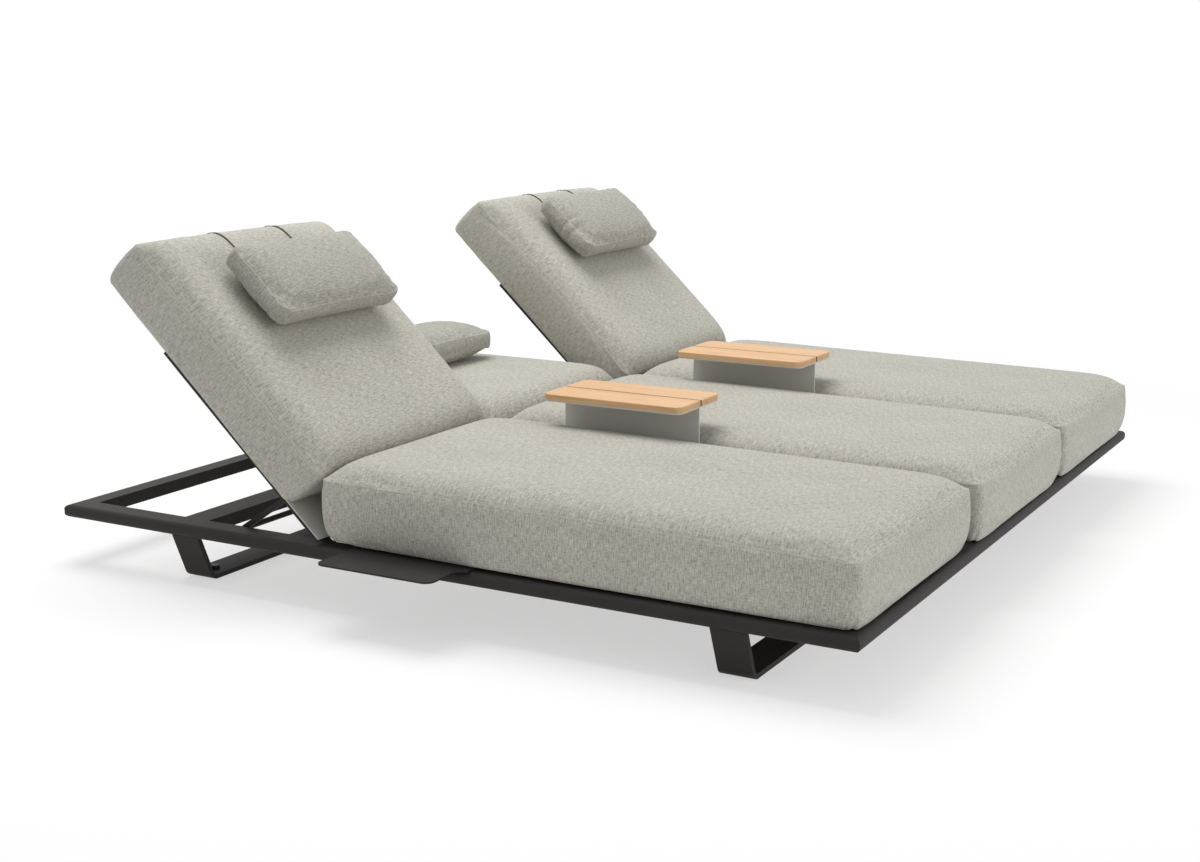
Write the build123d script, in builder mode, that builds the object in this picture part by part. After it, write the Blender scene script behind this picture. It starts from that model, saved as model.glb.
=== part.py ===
"""Outdoor lounge bed: three loungers side by side on one aluminium frame.

X runs across the bed, Y from the foot end to the head end and Z up. The origin lies on the ground,
under the middle of the frame. Left, middle and right are the three places, as seen from the foot end.
"""

from build123d import *
from math import cos, radians, sin
import os

os.makedirs("parts", exist_ok=True)

# Frame: four mitred outer rails, two inner rails, six cross members
frame_width = 2200.0
frame_length = 2100.0
rail_width = 60.0
rail_height = 32.0
rail_wall = 3.0
rail_top_round = 14.0
rail_bottom_round = 14.0
corner_round = 4.0
inner_rail_width = 50.0
clear_height = 118.0
cross_width = 74.0
cross_head_inset = 346.0
cross_foot_inset = 246.0
cut_overrun = 60.0

# Sled feet: one bent flat bar under each end, with posts under the inner rails
sled_bar_width = 80.0
sled_bar_thickness = 12.0
sled_head_inset = 347.0
sled_foot_inset = 243.0
sled_top_inset = 10.0
sled_bottom_inset = 57.0
sled_bend_radius = 26.0

# Levelling glides
glide_pad_radius = 18.0
glide_pad_height = 3.0
glide_stem_radius = 4.0
glide_knob_radius = 12.0
glide_knob_height = 8.0
glide_inset = 52.0
glide_play = 0.05

# Decks of the seats and the backs, laid on the rails
seat_bar_height = 8.0
back_bar_height = 8.0
back_bar_side_inset = 8.0
deck_bar_width = 20.0
deck_sheet = 2.0
rest_gap = 0.3
seat_bar_inset = 62.0
seat_sheet_inset = 60.0
seat_deck_foot = 45.0
seat_deck_gap = 26.0

# Cushions
cushion_gap = 29.3
seat_cushion_foot = 5.0
seat_hinge_gap = 29.0
seat_cushion_height = 134.0
seat_cushion_crown = 34.0
back_cushion_length = 726.0
back_cushion_height = 124.0
raised_back_crown = 50.0
flat_back_crown = 70.0
cushion_corner = 30.0
cushion_draw = 4.0
cushion_seam_tuck = 1.0
cushion_foot_tuck = 5.0
cushion_bulge = 4.0
crown_step = 62.0

# Pillows, hung on two straps
pillow_width = 458.0
pillow_length = 225.0
pillow_height = 122.0
pillow_gusset = 48.0
pillow_corner = 30.0
pillow_draw = 4.0
pillow_tuck = 5.0
pillow_crown_step = 30.0
pillow_reach_left = 458.0
pillow_reach_middle = 490.0
pillow_reach_right = 485.0
strap_width = 6.0
strap_thickness = 1.6
strap_spacing = 220.0
strap_gap = 0.5
strap_back_run = 62.0
strap_round = 18.0

# Back hinge and its places
back_space = 776.0
hinge_drop = 8.0
back_frame_inset = 109.0
back_frame_start = 8.0
raised_angle = 42.6
cushion_raised_start = 115.8
cushion_flat_start = -16.0
hinge_pin_radius = 5.0
hinge_play = 0.05
hinge_plate = 6.0
hinge_plate_width = 44.0
hinge_side_gap = 1.0
lug_radius = 9.0
lug_length = 28.0
pin_head = 1.5

# Prop under each back, and its notched rack
prop_pivot_reach = 147.0
prop_length = 178.0
prop_raised_slope = 34.0
prop_thickness = 6.0
prop_height = 14.0
prop_pin_radius = 4.0
prop_side_gap = 0.4
ear_radius = 9.0
rack_notch_count = 7
rack_used_count = 3
rack_notch_width = 14.6
rack_notch_depth = 10.4
rack_drop = 5.0

# Side tables in the gaps between the cushions
table_width = 226.0
table_length = 385.0
table_hinge_gap = 240.5
table_top = 424.0
board_thickness = 15.0
board_groove = 5.0
board_corner = 24.0
board_edge = 3.0
support_sheet = 4.0
support_inset = 2.0
upright_sheet = 5.0
upright_inset = 4.0
table_foot_width = 26.0
table_foot_height = 4.0
screw_radius = 3.0
screw_head_radius = 5.0
screw_head_height = 2.5
screw_bite = 9.0
screw_play = 0.1
screw_spread_share = 0.36

# Plates on the side rails
plate_reach = 115.0
plate_lap = 36.0
plate_thickness = 4.0
plate_hinge_gap = 102.0
plate_length = 305.0
plate_corner = 22.0

# Heights and places that follow from the sizes above
half_width = frame_width / 2
half_length = frame_length / 2
rail_top = clear_height + rail_height
deck_top = rail_top + seat_bar_height + deck_sheet
bay_pitch = frame_width / 3
cushion_width = bay_pitch - cushion_gap
inner_rail_x = bay_pitch / 2
hinge_y = frame_length - back_space
seat_cushion_length = hinge_y - seat_hinge_gap - seat_cushion_foot
seat_deck_head = hinge_y - seat_deck_gap
table_middle = hinge_y - table_hinge_gap - table_length / 2
plate_start = hinge_y - plate_hinge_gap - plate_length
cross_head_start = frame_length - cross_head_inset - cross_width
sled_head_start = frame_length - sled_head_inset - sled_bar_width
side_inner_face = half_width - rail_width
hinge_z = rail_top - hinge_drop
skid_top = glide_pad_height + sled_bar_thickness
back_cushion_travel = cushion_raised_start - cushion_flat_start
back_frame_length = cushion_flat_start + back_cushion_length - back_frame_inset
back_bar_rise = hinge_drop + rest_gap
back_sheet_rise = back_bar_rise + back_bar_height
back_cushion_rise = back_sheet_rise + deck_sheet + rest_gap
flat_foot = hinge_y + prop_pivot_reach + prop_length
raised_foot = (
    hinge_y
    + prop_pivot_reach * cos(radians(raised_angle))
    + prop_length * cos(radians(prop_raised_slope))
)
rack_pitch = (flat_foot - raised_foot) / rack_used_count
rack_length = rack_notch_count * rack_pitch
rack_start = flat_foot + rack_pitch / 2 - rack_length

BAYS = {
    "left": {
        "middle": -bay_pitch,
        "low_face": -side_inner_face,
        "high_face": -inner_rail_x - inner_rail_width / 2,
        "angle": raised_angle,
        "pillow_reach": pillow_reach_left,
        "crown": raised_back_crown,
    },
    "middle": {
        "middle": 0.0,
        "low_face": -inner_rail_x + inner_rail_width / 2,
        "high_face": inner_rail_x - inner_rail_width / 2,
        "angle": 0.0,
        "pillow_reach": pillow_reach_middle,
        "crown": flat_back_crown,
    },
    "right": {
        "middle": bay_pitch,
        "low_face": inner_rail_x + inner_rail_width / 2,
        "high_face": side_inner_face,
        "angle": raised_angle,
        "pillow_reach": pillow_reach_right,
        "crown": raised_back_crown,
    },
}


def place_y(from_foot):
    """Y of a place given by its distance from the outer edge of the foot rail."""
    return from_foot - half_length


def save(part, name):
    """Label one finished piece and write it."""
    part.label = name
    export_step(part, f"parts/{name}.step")


def deck_plane(bay, reach=0.0, rise=0.0, angle=None):
    """Plane along a back: its X runs across, its Y up the back, its Z out of the front."""
    turn = radians(bay["angle"] if angle is None else angle)
    origin = (
        bay["middle"],
        place_y(hinge_y) + reach * cos(turn) - rise * sin(turn),
        hinge_z + reach * sin(turn) + rise * cos(turn),
    )
    return Plane(origin=origin, x_dir=(1, 0, 0), z_dir=(0, -sin(turn), cos(turn)))


def cushion_start(bay):
    """Distance from the hinge to the foot edge of the back cushion: it creeps up as the back rises."""
    return cushion_flat_start + back_cushion_travel * bay["angle"] / raised_angle


def rail_profile(plane):
    """Section of an outer rail: X is the distance in from the outer face, Y the height."""
    with BuildSketch(plane) as section:
        with BuildLine():
            Line((rail_width, 0), (rail_bottom_round, 0))
            RadiusArc((rail_bottom_round, 0), (0, rail_bottom_round), rail_bottom_round)
            Line((0, rail_bottom_round), (0, rail_height - rail_top_round))
            RadiusArc((0, rail_height - rail_top_round), (rail_top_round, rail_height), rail_top_round)
            Line((rail_top_round, rail_height), (rail_width, rail_height))
            Line((rail_width, rail_height), (rail_width, 0))
        make_face()
        offset(amount=-rail_wall, mode=Mode.SUBTRACT)
    return section.sketch


def mitre_plane(x_side, y_side):
    """Upright plane through an outer corner at 45 degrees, with the side rail above it."""
    corner = (x_side * half_width, y_side * half_length, clear_height)
    return Plane(origin=corner, x_dir=(0, 0, 1), z_dir=(x_side, -y_side, 0))


def round_corner(x_side, y_side):
    """Cut the rail in hand back to the rounded outer corner of the frame on the given sides."""
    with BuildSketch(Plane.XY.offset(clear_height - cut_overrun)) as waste:
        with Locations((x_side * (half_width - corner_round), y_side * (half_length - corner_round))):
            Rectangle(
                corner_round + cut_overrun,
                corner_round + cut_overrun,
                align=(Align.MIN if x_side > 0 else Align.MAX, Align.MIN if y_side > 0 else Align.MAX),
            )
            Circle(corner_round, mode=Mode.SUBTRACT)
    extrude(waste.sketch, amount=rail_height + 2 * cut_overrun, mode=Mode.SUBTRACT)


# Side rails
for side_name, x_side in (("left", -1), ("right", 1)):
    outer = (x_side * half_width, -x_side * half_length, clear_height)
    with BuildPart() as side_rail:
        side_profile = rail_profile(Plane(origin=outer, x_dir=(-x_side, 0, 0), z_dir=(0, x_side, 0)))
        extrude(side_profile, amount=frame_length)
        split(bisect_by=mitre_plane(x_side, 1), keep=Keep.TOP)
        split(bisect_by=mitre_plane(x_side, -1), keep=Keep.TOP)
        round_corner(x_side, 1)
        round_corner(x_side, -1)
    save(side_rail.part, f"side_rail_{side_name}")

# Head rail
with BuildPart() as head_rail:
    head_corner = (half_width, half_length, clear_height)
    head_profile = rail_profile(Plane(origin=head_corner, x_dir=(0, -1, 0), z_dir=(-1, 0, 0)))
    extrude(head_profile, amount=frame_width)
    split(bisect_by=mitre_plane(-1, 1), keep=Keep.BOTTOM)
    split(bisect_by=mitre_plane(1, 1), keep=Keep.BOTTOM)
    round_corner(-1, 1)
    round_corner(1, 1)
save(head_rail.part, "head_rail")

# Foot rail, in three lengths that meet over the inner rails
foot_spans = {
    "left": (-half_width, -inner_rail_x),
    "middle": (-inner_rail_x, inner_rail_x),
    "right": (inner_rail_x, half_width),
}
for bay_name, (span_start, span_end) in foot_spans.items():
    with BuildPart() as foot_rail:
        foot_corner = (span_start, -half_length, clear_height)
        foot_profile = rail_profile(Plane(origin=foot_corner, x_dir=(0, 1, 0), z_dir=(1, 0, 0)))
        extrude(foot_profile, amount=span_end - span_start)
        if bay_name == "left":
            split(bisect_by=mitre_plane(-1, -1), keep=Keep.BOTTOM)
            round_corner(-1, -1)
        if bay_name == "right":
            split(bisect_by=mitre_plane(1, -1), keep=Keep.BOTTOM)
            round_corner(1, -1)
    save(foot_rail.part, f"foot_rail_{bay_name}")


def box_tube(plane, width, length):
    """Straight rectangular tube of the rail's height, open at both ends."""
    with BuildSketch(plane) as section:
        Rectangle(width, rail_height, align=(Align.CENTER, Align.MIN))
        offset(amount=-rail_wall, kind=Kind.INTERSECTION, mode=Mode.SUBTRACT)
    extrude(section.sketch, amount=length)


# Inner rails, between the foot rail and the head rail
for side_name, x_side in (("left", -1), ("right", 1)):
    with BuildPart() as inner_rail:
        start = (x_side * inner_rail_x, half_length - rail_width, clear_height)
        box_tube(
            Plane(origin=start, x_dir=(1, 0, 0), z_dir=(0, -1, 0)),
            inner_rail_width,
            frame_length - 2 * rail_width,
        )
    save(inner_rail.part, f"inner_rail_{side_name}")

# Cross members, one in each place over each sled
for end_name, start_y in (("head", cross_head_start), ("foot", cross_foot_inset)):
    for bay_name, bay in BAYS.items():
        with BuildPart() as cross_member:
            start = (bay["low_face"], place_y(start_y) + cross_width / 2, clear_height)
            box_tube(
                Plane(origin=start, x_dir=(0, 1, 0), z_dir=(1, 0, 0)),
                cross_width,
                bay["high_face"] - bay["low_face"],
            )
        save(cross_member.part, f"cross_member_{end_name}_{bay_name}")

# Sled feet: a bent flat bar with leaning legs, and bores in its skid for the glides
sled_lean = (sled_bottom_inset - sled_top_inset) / (clear_height - glide_pad_height)
sled_bottom_x = half_width - sled_bottom_inset
sled_high_x = half_width - sled_top_inset + sled_lean * cut_overrun
glide_xs = [
    x_side * x
    for x_side in (-1, 1)
    for x in (sled_bottom_x - glide_inset, inner_rail_x + glide_inset)
]
for end_name, start_y in (("head", sled_head_start), ("foot", sled_foot_inset)):
    sled_middle = place_y(start_y) + sled_bar_width / 2
    with BuildPart() as sled:
        with BuildSketch(Plane.XZ.offset(-place_y(start_y))):
            with BuildLine():
                FilletPolyline(
                    (-sled_high_x, clear_height + cut_overrun),
                    (-sled_bottom_x, glide_pad_height),
                    (sled_bottom_x, glide_pad_height),
                    (sled_high_x, clear_height + cut_overrun),
                    radius=sled_bend_radius,
                )
                offset(amount=sled_bar_thickness, side=Side.LEFT)
            make_face()
            with Locations((0, glide_pad_height)):
                Rectangle(
                    frame_width,
                    clear_height - glide_pad_height,
                    align=(Align.CENTER, Align.MIN),
                    mode=Mode.INTERSECT,
                )
        extrude(amount=-sled_bar_width)
        with Locations(*[(x, sled_middle, skid_top) for x in glide_xs]):
            Hole(glide_stem_radius + glide_play, depth=sled_bar_thickness)
    save(sled.part, f"sled_{end_name}")

# Posts between the skids and the inner rails
with BuildPart() as sled_posts:
    for start_y in (sled_head_start, sled_foot_inset):
        for x_side in (-1, 1):
            with Locations((x_side * inner_rail_x, place_y(start_y) + sled_bar_width / 2, skid_top)):
                Box(
                    sled_bar_thickness,
                    sled_bar_width,
                    clear_height - skid_top,
                    align=(Align.CENTER, Align.CENTER, Align.MIN),
                )
save(sled_posts.part, "sled_posts")

# Levelling glides: a pad under the skid, a stem through it and a knob on top
with BuildPart() as levelling_glides:
    for start_y in (sled_head_start, sled_foot_inset):
        for x in glide_xs:
            with Locations((x, place_y(start_y) + sled_bar_width / 2, 0)):
                Cylinder(
                    glide_pad_radius,
                    glide_pad_height,
                    align=(Align.CENTER, Align.CENTER, Align.MIN),
                )
                Cylinder(
                    glide_stem_radius,
                    skid_top,
                    align=(Align.CENTER, Align.CENTER, Align.MIN),
                )
            with Locations((x, place_y(start_y) + sled_bar_width / 2, skid_top)):
                Cylinder(
                    glide_knob_radius,
                    glide_knob_height,
                    align=(Align.CENTER, Align.CENTER, Align.MIN),
                )
save(levelling_glides.part, "levelling_glides")


def bar_ring(low_x, high_x, low_y, high_y, ribs):
    """Flat frame of deck bars between four edges, with cross ribs at the given places."""
    width, length = high_x - low_x, high_y - low_y
    middle = ((low_x + high_x) / 2, (low_y + high_y) / 2)
    with Locations(middle):
        Rectangle(width, length)
        Rectangle(width - 2 * deck_bar_width, length - 2 * deck_bar_width, mode=Mode.SUBTRACT)
    for rib in ribs:
        with Locations((middle[0], rib)):
            Rectangle(width - deck_bar_width, deck_bar_width)


def tray_outline(low_x, high_x, low_y, high_y):
    """Plain rectangle between four edges."""
    with Locations(((low_x + high_x) / 2, (low_y + high_y) / 2)):
        Rectangle(high_x - low_x, high_y - low_y)


# Seat frames and their sheets
for bay_name, bay in BAYS.items():
    cushion_edge = cushion_width / 2
    low_bar = bay["middle"] - cushion_edge + deck_sheet
    high_bar = bay["middle"] + cushion_edge - deck_sheet
    low_sheet, high_sheet = low_bar, high_bar
    if bay_name == "left":
        low_bar = -half_width + seat_bar_inset
        low_sheet = -half_width + seat_sheet_inset
    if bay_name == "right":
        high_bar = half_width - seat_bar_inset
        high_sheet = half_width - seat_sheet_inset
    foot_y, head_y = place_y(seat_deck_foot), place_y(seat_deck_head)
    with BuildPart() as seat_frame:
        with BuildSketch(Plane.XY.offset(rail_top)):
            bar_ring(low_bar, high_bar, foot_y, head_y, [(foot_y + head_y) / 2])
        extrude(amount=seat_bar_height)
    save(seat_frame.part, f"seat_frame_{bay_name}")
    with BuildPart() as seat_panel:
        with BuildSketch(Plane.XY.offset(rail_top + seat_bar_height)):
            tray_outline(low_sheet, high_sheet, foot_y, head_y)
        extrude(amount=deck_sheet)
    save(seat_panel.part, f"seat_panel_{bay_name}")


def soft_form(plane, width, length, levels, corner, draw):
    """Closed soft form through level outlines, each with drawn-in sides and rounded corners.

    A level is a height above the plane and an inset from the full outline. Each side of an outline
    bows in by draw at its middle.
    """
    outlines = []
    for height, inset in levels:
        x, y = width / 2 - inset, length / 2 - inset
        with BuildSketch(plane.offset(height)) as level:
            with BuildLine():
                ThreePointArc((-x, -y), (0, -y + draw), (x, -y))
                ThreePointArc((x, -y), (x - draw, 0), (x, y))
                ThreePointArc((x, y), (0, y - draw), (-x, y))
                ThreePointArc((-x, y), (-x + draw, 0), (-x, -y))
            make_face()
            fillet(level.vertices(), corner)
        outlines.append(level.sketch)
    loft(outlines, ruled=True)


# Levels of a cushion's sides: rise as a share of the seam height, bulge as a share of the fullest
boxing_shares = ((0.1, 0.2), (0.5, 1.0), (0.9, 0.5))
# Levels of its crown: rise as a share of the crown, inset as a share of the crown step
crown_shares = ((0.4, 0.12), (0.7, 0.4), (0.9, 1.1), (1.0, 2.6))


def cushion_levels(height, crown):
    """Heights and insets from the bottom panel, up the bulged boxing and over the crown."""
    levels = [(0, cushion_foot_tuck)]
    levels += [(rise * height, -bulge * cushion_bulge) for rise, bulge in boxing_shares]
    levels += [(height, cushion_seam_tuck)]
    levels += [(height + rise * crown, step * crown_step) for rise, step in crown_shares]
    return levels


# Levels of a pillow from its middle out: rise as a share of the crown, inset as a share of the step
pillow_shares = ((0.65, 0.9), (1.0, 2.2))


def pillow_levels():
    """Heights and insets of a pillow, the same below and above its gusset."""
    middle = pillow_height / 2
    crown = (pillow_height - pillow_gusset) / 2
    half = [(0, 0), (pillow_gusset / 2, pillow_tuck)]
    half += [(pillow_gusset / 2 + rise * crown, step * pillow_crown_step) for rise, step in pillow_shares]
    below = [(middle - rise, inset) for rise, inset in reversed(half[1:])]
    return below + [(middle + rise, inset) for rise, inset in half]


# Seat cushions
for bay_name, bay in BAYS.items():
    with BuildPart() as seat_cushion:
        seat_middle = (bay["middle"], place_y(seat_cushion_foot + seat_cushion_length / 2), deck_top)
        soft_form(
            Plane(origin=seat_middle),
            cushion_width,
            seat_cushion_length,
            cushion_levels(seat_cushion_height, seat_cushion_crown),
            cushion_corner,
            cushion_draw,
        )
    save(seat_cushion.part, f"seat_cushion_{bay_name}")


def plate_outline(plane):
    """Outline of a side plate: X leads out from the rail's edge, Y to the head end.

    At the foot end it runs back into the rail in an S of two arcs.
    """
    edge = plate_reach - plate_corner
    with BuildSketch(plane) as section:
        with BuildLine():
            Line((-plate_lap, -plate_corner), (0, -plate_corner))
            RadiusArc((0, -plate_corner), (plate_corner, 0), plate_corner)
            Line((plate_corner, 0), (edge, 0))
            RadiusArc((edge, 0), (plate_reach, plate_corner), -plate_corner)
            Line((plate_reach, plate_corner), (plate_reach, plate_length - plate_corner))
            RadiusArc((plate_reach, plate_length - plate_corner), (edge, plate_length), -plate_corner)
            Line((edge, plate_length), (-plate_lap, plate_length))
            Line((-plate_lap, plate_length), (-plate_lap, -plate_corner))
        make_face()
    return section.sketch


# Plates on the side rails, each reaching out beside the seat
for side_name, x_side in (("left", -1), ("right", 1)):
    with BuildPart() as side_plate:
        corner = (x_side * half_width, place_y(plate_start), rail_top)
        outline = plate_outline(Plane(origin=corner, x_dir=(x_side, 0, 0), z_dir=(0, 0, x_side)))
        extrude(outline, amount=x_side * plate_thickness)
    save(side_plate.part, f"side_plate_{side_name}")


def hinge_faces(bay):
    """Each inner face of a place, with the direction that leads into it."""
    return ((bay["low_face"], 1), (bay["high_face"], -1))


def upright_plane(x):
    """Upright plane across the bed at x: its X runs to the head end and its Y up."""
    return Plane(origin=(x, 0, 0), x_dir=(0, 1, 0), z_dir=(1, 0, 0))


def back_side_plane(bay, x, reach=0.0):
    """Plane across the bed at x, turned with a back: its X runs up the back, its Y out of the front."""
    along = deck_plane(bay, reach=reach)
    return Plane(origin=(x, along.origin.Y, along.origin.Z), x_dir=along.y_dir, z_dir=(1, 0, 0))


# Hinge brackets on the rails, and the pins that they hold
with BuildPart() as hinge_brackets:
    for bay in BAYS.values():
        for face_x, inward in hinge_faces(bay):
            with BuildSketch(upright_plane(face_x)):
                with Locations((place_y(hinge_y), clear_height)):
                    Rectangle(hinge_plate_width, rail_height, align=(Align.CENTER, Align.MIN))
                with Locations((place_y(hinge_y), hinge_z)):
                    Circle(hinge_pin_radius, mode=Mode.SUBTRACT)
            extrude(amount=inward * hinge_plate)
save(hinge_brackets.part, "hinge_brackets")

pin_length = 2 * hinge_plate + 2 * hinge_side_gap
with BuildPart() as hinge_pins:
    for bay in BAYS.values():
        for face_x, inward in hinge_faces(bay):
            with BuildSketch(upright_plane(face_x)):
                with Locations((place_y(hinge_y), hinge_z)):
                    Circle(hinge_pin_radius)
            extrude(amount=inward * pin_length)
            with BuildSketch(upright_plane(face_x + inward * pin_length)):
                with Locations((place_y(hinge_y), hinge_z)):
                    Circle(hinge_pin_radius + pin_head)
            extrude(amount=inward * pin_head)
save(hinge_pins.part, "hinge_pins")

# Racks: notched plates beside the ends of each prop's foot bar
with BuildPart() as prop_racks:
    for bay in BAYS.values():
        for face_x, inward in hinge_faces(bay):
            with BuildSketch(upright_plane(face_x)):
                with Locations((place_y(rack_start), clear_height)):
                    Rectangle(rack_length, rail_height - rack_drop, align=(Align.MIN, Align.MIN))
                for notch in range(rack_notch_count):
                    notch_y = place_y(rack_start) + (notch + 1 / 2) * rack_pitch
                    with Locations((notch_y, rail_top - rack_drop)):
                        Rectangle(
                            rack_notch_width,
                            rack_notch_depth,
                            align=(Align.CENTER, Align.MAX),
                            mode=Mode.SUBTRACT,
                        )
            extrude(amount=inward * hinge_plate)
save(prop_racks.part, "prop_racks")


def band_outline(route, thickness):
    """Corner points of a thin band: along the route, then back on its left at the band's thickness."""
    points = [Vector(*place) for place in route]
    outer = []
    for place, point in enumerate(points):
        along = points[min(place + 1, len(points) - 1)] - points[max(place - 1, 0)]
        outer.append(point + along.normalized().cross(Vector(0, 0, -1)) * thickness)
    return points + outer[::-1]


# Backs: frame with hinge lugs and prop ears, sheet, cushion, pillow and straps
half_frame = cushion_width / 2 - back_bar_side_inset
arm_start = hinge_plate + prop_side_gap
ear_start = arm_start + prop_thickness + prop_side_gap
lug_start = hinge_plate + hinge_side_gap
for bay_name, bay in BAYS.items():
    with BuildPart() as back_frame:
        with BuildSketch(deck_plane(bay, rise=back_bar_rise)):
            bar_ring(-half_frame, half_frame, back_frame_start, back_frame_length, [prop_pivot_reach])
        extrude(amount=back_bar_height)
        for face_x, inward in hinge_faces(bay):
            with BuildSketch(back_side_plane(bay, face_x + inward * lug_start)):
                Circle(lug_radius)
                with Locations((0, -lug_radius)):
                    Rectangle(lug_length, lug_radius + back_bar_rise, align=(Align.MIN, Align.MIN))
                Circle(hinge_pin_radius + hinge_play, mode=Mode.SUBTRACT)
            extrude(amount=inward * hinge_plate)
            with BuildSketch(back_side_plane(bay, face_x + inward * ear_start, prop_pivot_reach)):
                Circle(ear_radius)
                Rectangle(2 * ear_radius, back_bar_rise, align=(Align.CENTER, Align.MIN))
                Circle(prop_pin_radius + hinge_play, mode=Mode.SUBTRACT)
            extrude(amount=inward * prop_thickness)
    save(back_frame.part, f"back_frame_{bay_name}")

    with BuildPart() as back_panel:
        with BuildSketch(deck_plane(bay, rise=back_sheet_rise)):
            tray_outline(-half_frame, half_frame, back_frame_start, back_frame_length)
        extrude(amount=deck_sheet)
    save(back_panel.part, f"back_panel_{bay_name}")

    with BuildPart() as back_cushion:
        cushion_middle = cushion_start(bay) + back_cushion_length / 2
        soft_form(
            deck_plane(bay, reach=cushion_middle, rise=back_cushion_rise),
            cushion_width,
            back_cushion_length,
            cushion_levels(back_cushion_height, bay["crown"]),
            cushion_corner,
            cushion_draw,
        )
    save(back_cushion.part, f"back_cushion_{bay_name}")

    seam_rise = back_cushion_rise + back_cushion_height
    pillow_rise = seam_rise + bay["crown"] + rest_gap
    pillow_middle = cushion_start(bay) + bay["pillow_reach"]
    with BuildPart() as pillow:
        soft_form(
            deck_plane(bay, reach=pillow_middle, rise=pillow_rise),
            pillow_width,
            pillow_length,
            pillow_levels(),
            pillow_corner,
            pillow_draw,
        )
    save(pillow.part, f"pillow_{bay_name}")

    # Each strap leaves the pillow's upper edge, lies on the cushion and turns over its top end
    top_end = cushion_start(bay) + back_cushion_length
    pillow_top = pillow_middle + pillow_length / 2
    landing = pillow_top + strap_round
    route = [(pillow_top + strap_gap, pillow_rise + pillow_height / 2)]
    route += [(landing, seam_rise + bay["crown"] + strap_gap)]
    for rise, step in reversed(crown_shares):
        if top_end - step * crown_step > landing:
            route += [(top_end - step * crown_step, seam_rise + rise * bay["crown"] + strap_gap)]
    route += [(top_end - cushion_seam_tuck, seam_rise + strap_gap)]
    for rise, bulge in reversed(boxing_shares):
        route += [
            (top_end + bulge * cushion_bulge + strap_gap, back_cushion_rise + rise * back_cushion_height)
        ]
    route += [(top_end - cushion_foot_tuck, back_cushion_rise - strap_gap)]
    route += [(top_end - cushion_foot_tuck - strap_back_run, back_cushion_rise - strap_gap)]
    with BuildPart() as pillow_straps:
        for x_side in (-1, 1):
            strap_x = bay["middle"] + x_side * strap_spacing / 2 - strap_width / 2
            with BuildSketch(back_side_plane(bay, strap_x)):
                with BuildLine():
                    Polyline(*band_outline(route, strap_thickness), close=True)
                make_face()
            extrude(amount=strap_width)
    save(pillow_straps.part, f"pillow_straps_{bay_name}")

    # Prop: two arms and a foot bar, hung on stub pins in the ears of the frame
    slope = 0.0 if bay["angle"] == 0 else prop_raised_slope
    pivot = deck_plane(bay, reach=prop_pivot_reach).origin
    arm_dir = Vector(0, cos(radians(slope)), -sin(radians(slope)))
    with BuildPart() as back_prop:
        for face_x, inward in hinge_faces(bay):
            arm_origin = Vector(face_x + inward * arm_start, pivot.Y, pivot.Z)
            with BuildSketch(Plane(origin=arm_origin, x_dir=arm_dir, z_dir=(1, 0, 0))):
                with Locations((prop_length / 2, 0)):
                    SlotOverall(prop_length + prop_height, prop_height)
            extrude(amount=inward * prop_thickness)
            with BuildSketch(Plane(origin=arm_origin, x_dir=arm_dir, z_dir=(1, 0, 0))):
                Circle(prop_pin_radius)
            extrude(amount=inward * (2 * prop_thickness + 2 * prop_side_gap))
        low_end = bay["low_face"] + arm_start
        high_end = bay["high_face"] - arm_start
        foot = pivot + arm_dir * prop_length
        with BuildSketch(Plane(origin=(low_end, foot.Y, foot.Z), x_dir=arm_dir, z_dir=(1, 0, 0))):
            Circle(prop_height / 2)
        extrude(amount=high_end - low_end)
    save(back_prop.part, f"back_prop_{bay_name}")

# Side tables: an upright on the inner rail, a support sheet, two boards and screws
for side_name, x_side in (("left", -1), ("right", 1)):
    table_x = x_side * inner_rail_x
    table_y = place_y(table_middle)
    support_top = table_top - board_thickness
    support_low = support_top - support_sheet
    with BuildPart() as table_upright:
        with BuildSketch(Plane.XY.offset(rail_top + rest_gap)):
            with Locations((table_x, table_y)):
                Rectangle(table_foot_width, table_length - 2 * upright_inset)
        extrude(amount=table_foot_height)
        with BuildSketch(Plane.XY.offset(rail_top + rest_gap)):
            with Locations((table_x, table_y)):
                Rectangle(upright_sheet, table_length - 2 * upright_inset)
        extrude(amount=support_low - rail_top - rest_gap)
    save(table_upright.part, f"table_upright_{side_name}")

    screw_places = [
        (table_x + x_turn * table_width / 4, table_y + y_turn * screw_spread_share * table_length)
        for x_turn in (-1, 1)
        for y_turn in (-1, 1)
    ]
    with BuildPart() as table_support:
        with BuildSketch(Plane.XY.offset(support_low)):
            with Locations((table_x, table_y)):
                RectangleRounded(
                    table_width - 2 * support_inset,
                    table_length - 2 * support_inset,
                    board_corner - support_inset,
                )
            with Locations(*screw_places):
                Circle(screw_radius + screw_play, mode=Mode.SUBTRACT)
        extrude(amount=support_sheet)
    save(table_support.part, f"table_support_{side_name}")

    with BuildPart() as table_boards:
        with BuildSketch(Plane.XY.offset(support_top)):
            with Locations((table_x, table_y)):
                RectangleRounded(table_width, table_length, board_corner)
                Rectangle(board_groove, table_length, mode=Mode.SUBTRACT)
        extrude(amount=board_thickness)
        fillet(table_boards.edges().group_by(Axis.Z)[-1], board_edge)
        with BuildSketch(Plane.XY.offset(support_top)):
            with Locations(*screw_places):
                Circle(screw_radius)
        extrude(amount=screw_bite, mode=Mode.SUBTRACT)
    save(table_boards.part, f"table_boards_{side_name}")

    with BuildPart() as table_screws:
        with BuildSketch(Plane.XY.offset(support_low)):
            with Locations(*screw_places):
                Circle(screw_radius)
        extrude(amount=support_sheet + screw_bite)
        with BuildSketch(Plane.XY.offset(support_low - screw_head_height)):
            with Locations(*screw_places):
                Circle(screw_head_radius)
        extrude(amount=screw_head_height)
    save(table_screws.part, f"table_screws_{side_name}")
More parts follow.
